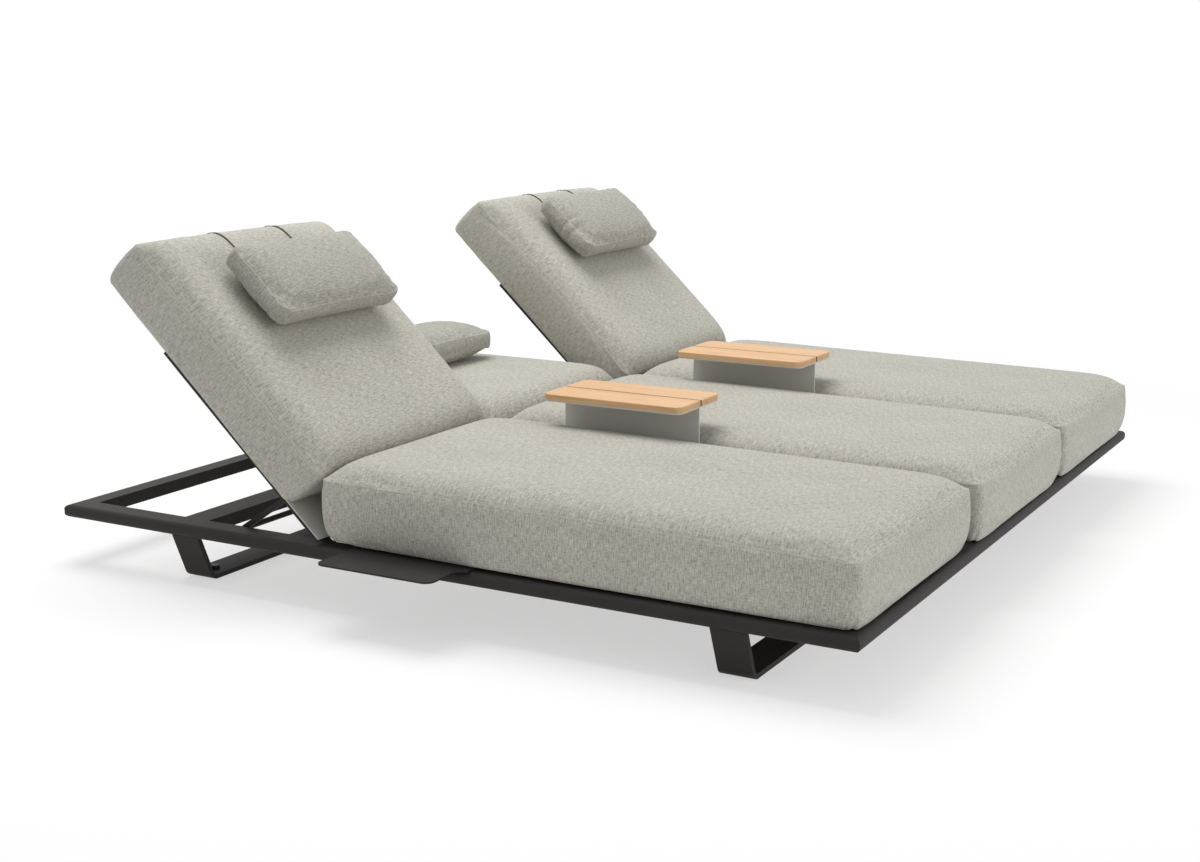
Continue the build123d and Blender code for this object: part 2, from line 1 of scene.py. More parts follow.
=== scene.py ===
# %% [markdown]
# # An outdoor lounge bed in Blender
#
# The bed is three loungers side by side on one dark metal frame: thick grey cushions, backs that
# rise on props, small strapped pillows and two teak side tables. The metal and wooden pieces come
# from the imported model, which is exact, so here they only get their finishes. The soft pieces are
# made new, because cloth is never as plain as a solid.

# %% Load the frame
import math

import bpy
import numpy as np
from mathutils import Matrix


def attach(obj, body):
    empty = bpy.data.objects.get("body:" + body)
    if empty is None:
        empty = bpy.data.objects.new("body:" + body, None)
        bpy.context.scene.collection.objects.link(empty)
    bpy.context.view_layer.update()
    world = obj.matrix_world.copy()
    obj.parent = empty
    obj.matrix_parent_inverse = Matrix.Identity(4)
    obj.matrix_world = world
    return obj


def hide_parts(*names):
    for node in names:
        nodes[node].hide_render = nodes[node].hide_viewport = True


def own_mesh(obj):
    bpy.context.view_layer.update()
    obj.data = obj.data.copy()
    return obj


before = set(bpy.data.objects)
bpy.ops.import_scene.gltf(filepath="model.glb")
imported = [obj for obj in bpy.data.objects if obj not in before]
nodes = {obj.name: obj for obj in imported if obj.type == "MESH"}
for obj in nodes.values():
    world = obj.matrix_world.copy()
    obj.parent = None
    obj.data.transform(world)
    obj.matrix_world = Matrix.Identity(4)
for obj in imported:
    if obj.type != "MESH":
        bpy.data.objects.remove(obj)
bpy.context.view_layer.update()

# The frame is three places wide, in metres.
FRAME_WIDTH = 2.2
BAY_PITCH = FRAME_WIDTH / 3

scene = bpy.context.scene

# %% [markdown]
# ## The camera
#
# The photographer stood beyond the foot end's left corner, with the lens 1.2 m above the ground. The
# place and the lens were worked out from the frame's straight edges, so the picture has the
# photograph's perspective.

# %% Place the camera
CAMERA_PLACE = (-4.0797, -2.1542, 1.2238)
CAMERA_DOWN = math.radians(12.01)
CAMERA_TURN = math.radians(60.69)
CAMERA_LENS = 51.83

camera_data = bpy.data.cameras.new("photo_camera")
camera_data.sensor_fit = "HORIZONTAL"
camera_data.sensor_width = 36.0
camera_data.lens = CAMERA_LENS
camera = bpy.data.objects.new("photo_camera", camera_data)
camera.location = CAMERA_PLACE
camera.rotation_euler = (math.pi / 2 - CAMERA_DOWN, 0, -CAMERA_TURN)
scene.collection.objects.link(camera)
scene.camera = camera
print("camera at", CAMERA_PLACE, "lens", camera_data.lens)

# %% [markdown]
# ## Finishes
#
# Every finish is a small node tree on Object or UV coordinates, so it sits still on its piece from
# any side. A helper makes the tree's start: a Principled shader with its constant values on its own
# sockets. Another adds a fine bump, because even powder coat isn't smooth.

# %% Helpers for node trees
def finish(name, colour, roughness, **sockets):
    """A new material with its Principled shader. Colours are sRGB as seen, turned to linear here."""
    material = bpy.data.materials.new(name)
    material.use_nodes = True
    shader = material.node_tree.nodes["Principled BSDF"]
    shader.inputs["Base Color"].default_value = (*linear(colour), 1)
    shader.inputs["Roughness"].default_value = roughness
    for socket, value in sockets.items():
        shader.inputs[socket.replace("_", " ")].default_value = value
    return material, shader


def linear(colour):
    """sRGB to linear: c / 12.92 below 0.04045, else ((c + 0.055) / 1.055) to the power 2.4."""
    c = np.asarray(colour, float)
    return tuple(np.where(c <= 0.04045, c / 12.92, ((c + 0.055) / 1.055) ** 2.4))


def join(material, output, node, socket):
    """A link from an output to a node's socket."""
    material.node_tree.links.new(output, node.inputs[socket])


def add(material, kind, links=(), **values):
    """One node in a material or a world.

    values set the node's properties or sockets by name, links are (output, socket) pairs into it.
    """
    node = material.node_tree.nodes.new(kind)
    for key, value in values.items():
        if hasattr(node, key):
            setattr(node, key, value)
        else:
            node.inputs[key.replace("_", " ")].default_value = value
    for output, socket in links:
        join(material, output, node, socket)
    return node


def mapped(material, scale, source="Object"):
    """Texture coordinates stretched by a Mapping node."""
    place = add(material, "ShaderNodeTexCoord").outputs[source]
    return add(material, "ShaderNodeMapping", [(place, "Vector")], Scale=scale)


def noise(material, mapping, scale, detail, rough):
    """A noise texture on a mapping."""
    return add(material, "ShaderNodeTexNoise", [(mapping.outputs[0], "Vector")],
               Scale=scale, Detail=detail, Roughness=rough)


def ramp(material, fac, stops):
    """A colour ramp from (position, sRGB colour) stops."""
    node = add(material, "ShaderNodeValToRGB", [(fac, "Fac")])
    elements = node.color_ramp.elements
    while len(elements) < len(stops):
        elements.new(0.5)
    for element, (position, colour) in zip(elements, stops):
        element.position = position
        element.color = (*linear(colour), 1)
    return node


def bump(material, shader, height, strength, distance):
    """Bump from a height output into a shader's Normal."""
    node = add(material, "ShaderNodeBump", [(height, "Height")], Strength=strength, Distance=distance)
    join(material, node.outputs[0], shader, "Normal")


def separate(material, source):
    """Texture coordinates split into X, Y and Z."""
    place = add(material, "ShaderNodeTexCoord").outputs[source]
    return add(material, "ShaderNodeSeparateXYZ", [(place, "Vector")]).outputs


# %% [markdown]
# Three more helpers save many lines: arithmetic on two outputs, a soft line at a given distance,
# which draws seams and rows of stitches, and a mix with a colour.

# %% Helpers for sums, lines and colour mixes
def math_node(material, operation, first, second):
    """One Math node on two outputs or numbers."""
    node = add(material, "ShaderNodeMath", operation=operation)
    for socket, value in enumerate((first, second)):
        if isinstance(value, (int, float)):
            node.inputs[socket].default_value = value
        else:
            join(material, value, node, socket)
    return node.outputs[0]


def band(material, value, centre, half_width):
    """1 within half_width of centre, fading to 0 at twice that: a soft line across a distance."""
    away = math_node(material, "ABSOLUTE", math_node(material, "SUBTRACT", value, centre), 0.0)
    return add(material, "ShaderNodeMapRange", [(away, "Value")],
               From_Min=half_width, From_Max=2 * half_width, To_Min=1.0, To_Max=0.0).outputs[0]


def mix_colours(material, factor, first, second):
    """Mix of an output with a colour: the first where factor is 0, the sRGB colour where it is 1."""
    node = add(material, "ShaderNodeMix", [(factor, 0), (first, 6)], data_type="RGBA")
    node.inputs[7].default_value = (*linear(second), 1)
    return node.outputs[2]


# %% [markdown]
# ### Powder coat
#
# The rails, sleds and side plates have a dark, warm grey powder coat with a slight sheen, and the
# decks and table stands an off-white one. Powder coat has a tiny orange peel, which a fine noise bump
# gives, and its colour hardly varies, so the cloudy noise in the colour is kept faint.

# %% Powder coat finishes
def powder_coat(name, dark, light, roughness, shine):
    """Two near colours mixed by a soft cloud, over a fine orange peel."""
    material, shader = finish(name, dark, roughness, Specular_IOR_Level=shine)
    cloud = noise(material, mapped(material, (1, 1, 1)), 9.0, 4.0, 0.6)
    colours = ramp(material, cloud.outputs["Fac"], [(0.35, dark), (0.65, light)])
    join(material, colours.outputs[0], shader, "Base Color")
    sheen = add(material, "ShaderNodeMapRange", [(cloud.outputs["Fac"], "Value")],
                To_Min=roughness - 0.05, To_Max=roughness + 0.06)
    join(material, sheen.outputs[0], shader, "Roughness")
    grains = noise(material, mapped(material, (1, 1, 1)), 900.0, 2.0, 0.5)
    bump(material, shader, grains.outputs["Fac"], 0.12, 0.0004)
    return material


anthracite = powder_coat("anthracite_coating", (0.148, 0.136, 0.131), (0.167, 0.154, 0.149), 0.60, 0.25)
off_white = powder_coat("off_white_coating", (0.775, 0.775, 0.750), (0.800, 0.798, 0.772), 0.50, 0.5)
plate_coat = powder_coat("plate_coating", (0.128, 0.119, 0.114), (0.144, 0.134, 0.129), 0.56, 0.25)
print("powder coats:", anthracite.name, off_white.name, plate_coat.name)

# %% [markdown]
# ### Steel and plastic
#
# Screws and pins are brushed stainless steel: metallic, with roughness streaks along the brushing.
# The glides are black plastic with a faint moulded grain.

# %% Steel and plastic finishes
def brushed(name):
    """Metal whose roughness follows long streaks."""
    material, shader = finish(name, (0.66, 0.65, 0.64), 0.32, Metallic=1.0)
    streaks = noise(material, mapped(material, (20, 400, 20)), 6.0, 4.0, 0.6)
    sheen = add(material, "ShaderNodeMapRange", [(streaks.outputs["Fac"], "Value")],
                To_Min=0.24, To_Max=0.46)
    join(material, sheen.outputs[0], shader, "Roughness")
    bump(material, shader, streaks.outputs["Fac"], 0.08, 0.0003)
    return material


def moulded(name, dark, light):
    """Plastic with a fine grain in colour and bump."""
    material, shader = finish(name, dark, 0.5)
    grain = noise(material, mapped(material, (1, 1, 1)), 500.0, 3.0, 0.6)
    colours = ramp(material, grain.outputs["Fac"], [(0.3, dark), (0.7, light)])
    join(material, colours.outputs[0], shader, "Base Color")
    bump(material, shader, grain.outputs["Fac"], 0.2, 0.0004)
    return material


steel = brushed("stainless_steel")
plastic = moulded("black_plastic", (0.055, 0.055, 0.058), (0.085, 0.085, 0.088))
print("metal and plastic:", steel.name, plastic.name)

# %% [markdown]
# ### Teak
#
# The table boards are light oiled teak, and their grain runs along the boards, from foot to head.
# Noise stretched hard along Y gives the grain's streaks, a slower noise bends it a little, and fine
# short lines are the open pores. The gap between the two boards of a table is painted darker: partly
# painted shade, because little light gets in, and partly the oil that stays there.

# %% Teak finish
TABLE_MIDDLE = BAY_PITCH / 2
TEAK_TONES = (
    (0.30, (0.66, 0.47, 0.30)),
    (0.45, (0.80, 0.63, 0.45)),
    (0.60, (0.85, 0.70, 0.53)),
    (0.75, (0.75, 0.57, 0.39)),
)
PORE_STAIN = (0.52, 0.34, 0.19)
# Painted shade and oil stain in the gap between the boards.
GAP_STAIN_AND_SHADE = (0.30, 0.17, 0.08)
GAP_HALF_WIDTH = 0.0026


def teak_finish():
    """Three layers of stretched noise: broad bands, fine grain and dark pores, and a gap painted dark with
    oil stain and shade.
    """
    material, shader = finish("teak", (0.86, 0.68, 0.47), 0.5)
    broad = noise(material, mapped(material, (26, 1.6, 26)), 1.0, 4.0, 0.55)
    fine = noise(material, mapped(material, (260, 7, 260)), 1.0, 5.0, 0.65)
    pores = noise(material, mapped(material, (900, 26, 900)), 1.0, 2.0, 0.5)
    mixed = math_node(material, "ADD", math_node(material, "MULTIPLY", broad.outputs["Fac"], 0.45),
                      math_node(material, "MULTIPLY", fine.outputs["Fac"], 0.55))
    tones = ramp(material, mixed, TEAK_TONES)
    dark = add(material, "ShaderNodeMapRange", [(pores.outputs["Fac"], "Value")],
               From_Min=0.62, From_Max=0.78, To_Min=0.0, To_Max=0.45)
    stained = mix_colours(material, dark.outputs[0], tones.outputs[0], PORE_STAIN)
    off_middle = math_node(material, "ABSOLUTE", separate(material, "Object")["X"], 0.0)
    gap = math_node(material, "MULTIPLY", band(material, off_middle, TABLE_MIDDLE, GAP_HALF_WIDTH), 0.85)
    join(material, mix_colours(material, gap, stained, GAP_STAIN_AND_SHADE), shader, "Base Color")
    bump(material, shader, mixed, 0.15, 0.0008)
    return material


teak = teak_finish()
print("wood:", teak.name)

# %% [markdown]
# ### Cushion cloth
#
# The cushions wear a warm grey outdoor weave with a streaky melange: short threads of lighter and
# darker grey, most of them in one direction. Cloth follows its surface, so this finish reads the
# piece's UV map, which is in metres and has U along the streaks: across the bed on the panels,
# upright on the boxing. Two noises at the threads' two widths are the melange, a crossed one is the
# weave, and a slow cloud keeps a large panel from looking printed. The attribute "edge" holds the
# distance from the nearest seam: a thin pale line of thread lies on it, and a row of stitches beside
# it. The pillows have the same cloth painted a little darker, which is painted shade, and their
# seams show more.

# %% Cushion cloth finish
# Each layer: how often it repeats in a metre along U and V, its detail, its roughness and its share.
CLOTH_LAYERS = {
    "streaks": ((50, 400, 1), 2.0, 0.6, 0.38),
    "threads": ((120, 850, 1), 2.0, 0.6, 0.28),
    "crossing": ((520, 75, 1), 2.0, 0.5, 0.28),
    "cloud": ((6, 6, 6), 3.0, 0.5, 0.06),
}
# Half widths of the seam's thread and valley and of a stitch, a stitch's repeat and its place, in metres.
THREAD_HALF, VALLEY_HALF, STITCH_HALF = 0.0007, 0.0014, 0.0006
STITCH_REPEAT, STITCH_PLACE = 0.0055, 0.0070
STITCH_MIX = 0.22


def cloth_finish(name, light, dark, seam_mix=0.16):
    """Melange cloth: streaks along U, weave and cloud in colour and bump, and the seam's threads."""
    material, shader = finish(name, light, 0.93, Sheen_Weight=0.12, Sheen_Roughness=0.5,
                              Specular_IOR_Level=0.2)
    layers, mottled = {}, 0.0
    for title, (scale, detail, rough, share) in CLOTH_LAYERS.items():
        layers[title] = noise(material, mapped(material, scale, "UV"), 1.0, detail, rough).outputs["Fac"]
        mottled = math_node(material, "ADD", mottled, math_node(material, "MULTIPLY", layers[title], share))
    tones = ramp(material, mottled, [(0.40, dark), (0.60, light)]).outputs[0]
    edge = add(material, "ShaderNodeAttribute", attribute_name="edge").outputs["Fac"]
    place = separate(material, "UV")
    run = math_node(material, "ADD", place["X"], place["Y"])
    turns = math_node(material, "MULTIPLY", run, 2 * math.pi / STITCH_REPEAT)
    dash = math_node(material, "GREATER_THAN", math_node(material, "SINE", turns, 0.0), -0.3)
    seam = math_node(material, "MULTIPLY", band(material, edge, 0.0, THREAD_HALF), seam_mix)
    row = band(material, edge, STITCH_PLACE, STITCH_HALF)
    stitch = math_node(material, "MULTIPLY", row, math_node(material, "MULTIPLY", dash, STITCH_MIX))
    thread = math_node(material, "MAXIMUM", seam, stitch)
    pale = tuple(1.12 * np.array(light))
    join(material, mix_colours(material, thread, tones, pale), shader, "Base Color")
    relief = math_node(material, "MULTIPLY", layers["threads"], 0.6)
    relief = math_node(material, "ADD", relief, layers["crossing"])
    valley = math_node(material, "MULTIPLY", band(material, edge, 0.0, VALLEY_HALF), 0.5)
    bump(material, shader, math_node(material, "SUBTRACT", relief, valley), 0.4, 0.0008)
    return material


cushion_cloth = cloth_finish("cushion_cloth", (0.785, 0.773, 0.735), (0.560, 0.547, 0.508))
# The pillows wear the cushions' cloth painted a little darker: painted shade.
pillow_cloth_painted_shade = cloth_finish("pillow_cloth_painted_shade", (0.722, 0.711, 0.676), (0.515, 0.503, 0.467), 0.42)
strap_cloth = cloth_finish("strap_webbing", (0.36, 0.34, 0.27), (0.24, 0.23, 0.17))
print("cloths:", cushion_cloth.name, pillow_cloth_painted_shade.name, strap_cloth.name)

# %% [markdown]
# ## Dressing the metal, wood and plastic
#
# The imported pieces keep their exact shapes. Each gets its finish in place of the plain colour that
# it came with.

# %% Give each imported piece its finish
FINISHES = (
    (("side_rail", "head_rail", "foot_rail", "inner_rail", "cross_member", "sled_", "back_prop",
      "back_frame", "prop_racks", "hinge_brackets"), anthracite),
    (("seat_frame", "seat_panel", "back_panel", "table_upright", "table_support"), off_white),
    (("side_plate",), plate_coat),
    (("table_boards",), teak),
    (("table_screws", "hinge_pins"), steel),
    (("levelling_glides",), plastic),
)
dressed = 0
for starts, material in FINISHES:
    for name, piece in nodes.items():
        if name.startswith(starts):
            for slot in piece.material_slots:
                slot.material = material
            dressed += 1
print("dressed", dressed, "of", len(nodes), "packed pieces")

# %% [markdown]
# ## The shape of a boxed cushion
#
# A boxed cushion is two panels joined by a band of cloth, the boxing. Its outline is a rectangle
# with round corners whose sides are drawn in a little between the corners. It could be sculpted, but
# a function is easier to keep exact: each point is a place (u, v) on a panel, or a place round the
# boxing, and numpy works out all of them at once. The grid is denser by the seams, where cloth folds.

# %% Grid lines, dense by the seams
SEAM_ROWS = (0.0, 0.004, 0.009, 0.016, 0.026)


def grid_lines(length, step):
    """Places from 0 to length: the seam rows at both ends, even steps of about step between them.

    On a short length, rows past 0.4 of it are left out.
    """
    rows = np.array([row for row in SEAM_ROWS if row < 0.4 * length])
    steps = max(1, int(round((length - 2 * rows[-1]) / step)))
    inner = np.linspace(rows[-1], length - rows[-1], steps + 1)
    return np.concatenate([rows[:-1], inner, length - rows[:-1][::-1]])


def round_outline(x, y, half_x, half_y, corner):
    """Moves points of a rectangle into one with round corners.

    In the corner square of side r a point (a, b), both from 0 to 1, goes to
    (a sqrt(1 - b^2 / 2), b sqrt(1 - a^2 / 2)) times r, which turns the square into a quarter disc.
    """
    a = np.clip((np.abs(x) - (half_x - corner)) / corner, 0, 1)
    b = np.clip((np.abs(y) - (half_y - corner)) / corner, 0, 1)
    new_x = np.where(a > 0, half_x - corner + corner * a * np.sqrt(1 - b * b / 2), np.abs(x))
    new_y = np.where(b > 0, half_y - corner + corner * b * np.sqrt(1 - a * a / 2), np.abs(y))
    return np.sign(x) * new_x, np.sign(y) * new_y


# %% The closed grid of a boxed form
def boxed_grid(width, length, height, step):
    """Points on a box as a closed grid: its faces, the places of its points, UVs and seam distances.

    The points come as the low panel, the high panel and the rings of the boxing between them, all
    with u across, v along and w up the boxing, in metres.
    """
    us, vs, ws = grid_lines(width, step), grid_lines(length, step), grid_lines(height, step)
    nu, nv, nw = len(us), len(vs), len(ws)
    panel_u, panel_v = (g.ravel() for g in np.meshgrid(us, vs))
    index = np.arange(nu * nv).reshape(nv, nu)
    rim = np.concatenate([index[0, :-1], index[:-1, -1], index[-1, :0:-1], index[:0:-1, 0]])
    count, rings = nu * nv, len(rim)
    ring_u, ring_v = np.tile(panel_u[rim], nw - 2), np.tile(panel_v[rim], nw - 2)
    ring_w = np.repeat(ws[1:-1], rings)
    u = np.concatenate([panel_u, panel_u, ring_u])
    v = np.concatenate([panel_v, panel_v, ring_v])
    w = np.concatenate([np.zeros(count), np.full(count, ws[-1]), ring_w])
    a, b, c, d = index[:-1, :-1], index[:-1, 1:], index[1:, 1:], index[1:, :-1]
    high = np.stack([a, b, c, d], -1).reshape(-1, 4) + count
    low = np.stack([a, d, c, b], -1).reshape(-1, 4)
    between = 2 * count + np.arange((nw - 2) * rings).reshape(nw - 2, rings)
    levels = np.vstack([rim[None], between, rim[None] + count])
    after = np.roll(levels, -1, axis=1)
    sides = np.stack([levels[:-1], after[:-1], after[1:], levels[1:]], -1).reshape(-1, 4)
    faces = np.vstack([low, high, sides])
    away = np.minimum(np.minimum(u, width - u), np.minimum(v, length - v))
    on_ring = np.arange(len(u)) >= 2 * count
    edge = np.where(on_ring, np.minimum(w, ws[-1] - w), away)
    steps_u = np.diff(panel_u[rim], append=panel_u[rim[:1]])
    steps_v = np.diff(panel_v[rim], append=panel_v[rim[:1]])
    around = np.concatenate([[0], np.cumsum(np.hypot(steps_u, steps_v))])
    side_u = np.broadcast_to(ws[:, None], (nw, rings + 1))
    side_v = np.broadcast_to(around[None, :], (nw, rings + 1))
    side_uv = np.stack([side_u, side_v], -1)
    a, b, c, d = side_uv[:-1, :-1], side_uv[:-1, 1:], side_uv[1:, 1:], side_uv[1:, :-1]
    quads = np.stack([a, b, c, d], 2).reshape(-1, 4, 2)
    flat_uv = np.stack([u, v], -1)
    uv = np.concatenate([flat_uv[low], flat_uv[high], quads]).reshape(-1, 2)
    return {"u": u, "v": v, "w": w, "faces": faces, "uv": uv, "edge": edge, "ring": on_ring,
            "high": (np.arange(len(u)) >= count) & ~on_ring, "rim": rim, "index": index, "levels": levels}


print("rows from the seams:", SEAM_ROWS)

# %% [markdown]
# ## From grid to cushion
#
# The foam inside holds a cushion's middle firm, so the shape comes first from a formula: the
# boxing bulges at its middle height, the panel climbs a round shoulder from the seam to a low crown,
# and the lower corners are rounded more than the edges between them. A raised back's cushion also
# hangs: its front slides down a little, most of all at its lower end, and it is thicker at the top.

# %% The form of a cushion
LIP_WIDTH = 0.009


def boxed_form(grid, height, crown_high, tuck, corner, corner_tuck, crown_low=0.0, reach=0.028,
               bulge=0.007, draw=0.004, lip=0.0, hang=0.0, taper=0.0):
    """Places of the grid's points, centred on the plan and standing on z = 0.

    Plan: a rectangle with round corners; a side bows in by draw (1 - s^2), s from -1 to 1 along it.
    Boxing: outline moved out by bulge sin(pi f) (1 - s^4 t^4), f its height's share, and in by
    tuck exp(-f / 0.06).
    Corners: another corner_tuck s^8 t^8 exp(-f / 0.14) inwards, s and t the shares of the half sides.
    Crown: height crown (1 - exp(-a / reach)) (1 - exp(-b / reach)), a and b the distances from the
    sides.
    Lip: the edges of a low panel without a crown hang down by lip (1 - 0.7 t).
    Hang: a point slides back by hang z / height, and by 0.6 of that again near the low end.
    Taper: height times 1 + taper t.
    """
    half_x, half_y = grid["u"].max() / 2, grid["v"].max() / 2
    x, y = round_outline(grid["u"] - half_x, grid["v"] - half_y, half_x, half_y, corner)
    share = grid["w"] / height
    s, t = x / half_x, y / half_y
    ends = 1 - (np.abs(s) * np.abs(t)) ** 4
    inset = tuck * np.exp(-share / 0.06) - bulge * np.sin(np.pi * share) * ends
    inset += corner_tuck * (np.abs(s) * np.abs(t)) ** 8 * np.exp(-share / 0.14)
    new_x = x * (1 - inset / half_x) - draw * s * (1 - t * t)
    new_y = y * (1 - inset / half_y) - draw * t * (1 - s * s)
    rise = (1 - np.exp(-(half_x - np.abs(x)) / reach)) * (1 - np.exp(-(half_y - np.abs(y)) / reach))
    low = (~grid["ring"] & ~grid["high"]).astype(float)
    z = (grid["w"] + rise * (crown_high * grid["high"] - crown_low * low)) * (1 + taper * t)
    new_y = new_y - hang * z / height * (1 + 0.6 * np.exp(-(y + half_y) / 0.08))
    side = np.clip(np.minimum(half_x - np.abs(x), half_y - np.abs(y)) / LIP_WIDTH, 0, 1)
    z = z - lip * (1 - 0.7 * t) * (1 - side**2) * np.exp(-share / 0.06) * (crown_low == 0)
    return np.stack([new_x, new_y, z], -1)


# %% Meshes from arrays
def mesh_piece(name, points, faces, uv=None, edge=None):
    """A mesh object at the origin from arrays, with its UV map in metres and its seam distances."""
    mesh = bpy.data.meshes.new(name)
    mesh.vertices.add(len(points))
    mesh.vertices.foreach_set("co", np.asarray(points, np.float32).ravel())
    mesh.loops.add(faces.size)
    mesh.loops.foreach_set("vertex_index", faces.astype(np.int32).ravel())
    mesh.polygons.add(len(faces))
    mesh.polygons.foreach_set("loop_start", np.arange(0, faces.size, faces.shape[1], dtype=np.int32))
    mesh.polygons.foreach_set("use_smooth", np.ones(len(faces), bool))
    mesh.update(calc_edges=True)
    if uv is not None:
        mesh.uv_layers.new(name="cloth").uv.foreach_set("vector", np.asarray(uv, np.float32).ravel())
    if edge is not None:
        seam_distance = mesh.attributes.new("edge", "FLOAT", "POINT")
        seam_distance.data.foreach_set("value", np.asarray(edge, np.float32))
    mesh.validate()
    piece = bpy.data.objects.new(name, mesh)
    scene.collection.objects.link(piece)
    return piece


# %% [markdown]
# ## Swelling by simulation
#
# Cloth over foam is never quite the formula's surface. The form is made a cloth filled with a slight
# pressure, its seams shrink a few percent, as a tight thread makes them, and the foam holds the
# middle of each panel by pinning it softly. After some frames the points are read back, and no point
# may have moved further than a cap, which keeps the cushion in its place.

# %% Run cloth on one form
SWELL_FRAMES = 16


def swell(points, grid, pressure, shrink, firm, cap):
    """Points after a short cloth simulation: pressure inside, shrunk seams, soft pins from the foam.

    At a distance e from the seam the foam holds a point by firm (1 - exp(-e / 0.05)), and the thread
    shrinks the cloth by shrink exp(-e / 0.006). A move d becomes d min(1, cap / |d|).
    """
    rough = np.random.default_rng(4).normal(0, 0.0002, points.shape)
    body = mesh_piece("swelling", points + rough, grid["faces"])
    groups = {
        "foam": firm * (1 - np.exp(-grid["edge"] / 0.05)),
        "thread": np.exp(-grid["edge"] / 0.006),
    }
    for title, weights in groups.items():
        group = body.vertex_groups.new(name=title)
        levels = np.round(weights, 2)
        for level in np.unique(levels):
            group.add(np.flatnonzero(levels == level).tolist(), float(level), "REPLACE")
    cloth = body.modifiers.new("cloth", "CLOTH")
    settings = cloth.settings
    settings.quality = 4
    settings.mass = 0.3
    settings.tension_stiffness = settings.compression_stiffness = 20
    settings.shear_stiffness = 8
    settings.bending_stiffness = 0.4
    settings.effector_weights.gravity = 0
    settings.use_pressure = True
    settings.uniform_pressure_force = pressure
    settings.vertex_group_mass = "foam"
    settings.pin_stiffness = 1.0
    settings.vertex_group_shrink = "thread"
    settings.shrink_min, settings.shrink_max = 0.0, shrink
    cloth.point_cache.frame_start, cloth.point_cache.frame_end = 1, SWELL_FRAMES
    for frame_number in range(1, SWELL_FRAMES + 1):
        scene.frame_set(frame_number)
    shaped = body.evaluated_get(bpy.context.evaluated_depsgraph_get())
    after = np.empty(len(points) * 3, np.float32)
    shaped.data.vertices.foreach_get("co", after)
    scene.frame_set(1)
    bpy.data.objects.remove(body, do_unlink=True)
    move = after.reshape(-1, 3) - points
    far = np.linalg.norm(move, axis=1)
    print(f"swelling: moved {far.mean() * 1000:.1f} mm on average, at most {far.max() * 1000:.1f}")
    return points + move * np.minimum(1, cap / np.maximum(far, 1e-9))[:, None]


# %% [markdown]
# ## Puckers
#
# Where a seam gathers the cloth, short folds stand across it and fade within a few centimetres. A
# sum of sines of the place along the seam, with phases from a seeded generator, gives folds that
# come in clusters, as sewn ones do, and look different on each piece.

# %% Puckers along the seams
def puckers(points, grid, depth, fade, seed, shortest):
    """Moves points near a seam out by depth exp(-edge / fade) times folds along the seam.

    Folds: six sines of the place along the seam, wavelengths from shortest to three times that,
    multiplied by a slow sine that makes clusters. The lengths added to the place, all different,
    keep the four sides' folds from matching.
    """
    chance = np.random.default_rng(seed)
    near_x = np.minimum(grid["u"], grid["u"].max() - grid["u"])
    near_y = np.minimum(grid["v"], grid["v"].max() - grid["v"])
    rim_place = np.where(near_x < near_y, grid["v"] + 3.1 * (grid["u"] > grid["u"].max() / 2),
                         grid["u"] + 7.7 + 2.3 * (grid["v"] > grid["v"].max() / 2))
    waves = shortest * chance.uniform(1, 3, 6)
    phases = chance.uniform(0, 2 * np.pi, 6)
    folds = np.sin(rim_place[:, None] * 2 * np.pi / waves + phases).sum(1) / 3
    spread = chance.uniform(0.13, 0.23)
    clusters = 0.55 + 0.45 * np.sin(rim_place * 2 * np.pi / spread + chance.uniform(0, 6))
    amount = depth * np.exp(-grid["edge"] / fade) * folds * clusters * (grid["edge"] > 0)
    x, y, z = points.T
    zero = np.zeros(len(points))
    side = np.stack([x * (near_x < near_y), y * (near_x >= near_y), zero], -1)
    flat = np.stack([zero, zero, z - z.mean()], -1)
    direction = np.where(grid["ring"][:, None], side, flat)
    direction /= np.maximum(np.linalg.norm(direction, axis=1), 1e-9)[:, None]
    return points + direction * amount[:, None]


# %% [markdown]
# ## Places of the cushions
#
# The three loungers stand a third of the frame's width apart. A seat cushion lies level on its deck;
# a back cushion lies in its back's own frame, which turns about the hinge: u runs up the back and w
# out of its front. The same rule then places pillows and straps.

# %% Places and turns
# Metres: the hinges' Y and Z, the deck's height, and how far out of its hinge a back's sheet lies.
HINGE = np.array([0.274, 0.142])
DECK_TOP = 0.160
BACK_TOP = 0.0186
RAISED = math.radians(42.6)
# Each place: its middle across the bed, how far up the back the cushion starts, the pillow's middle
# from there, and the cushion's crown.
PLACES = {
    "left": {"middle": -BAY_PITCH, "turn": RAISED, "start": 0.1145, "pillow": 0.460, "crown": 0.050},
    "middle": {"middle": 0.0, "turn": 0.0, "start": -0.020, "pillow": 0.487, "crown": 0.077},
    "right": {"middle": BAY_PITCH, "turn": RAISED, "start": 0.1145, "pillow": 0.487, "crown": 0.050},
}
CUSHION_WIDTH, CUSHION_STEP = 0.704, 0.014


def along_back(points, place, reach, rise):
    """Local points (across, along, out) moved up a back by reach and out by rise, then turned."""
    u, w = points[:, 1] + reach, points[:, 2] + rise
    c, s = math.cos(place["turn"]), math.sin(place["turn"])
    y, z = HINGE[0] + u * c - w * s, HINGE[1] + u * s + w * c
    return np.stack([points[:, 0] + place["middle"], y, z], -1)


def cloth_piece(name, shape, grid):
    """A mesh object of a shape on its grid, with the size of the shape printed."""
    piece = mesh_piece(name, shape, grid["faces"], grid["uv"], grid["edge"])
    print(piece.name, shape.min(0).round(4), shape.max(0).round(4))
    return piece


def finish_soft(piece, node, body, material):
    """A padded piece: one subdivision, its cloth, the node it replaces and the body it rides on."""
    smooth = piece.modifiers.new("smooth", "SUBSURF")
    smooth.levels = smooth.render_levels = 1
    piece.data.materials.append(material)
    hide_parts(node)
    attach(piece, body)
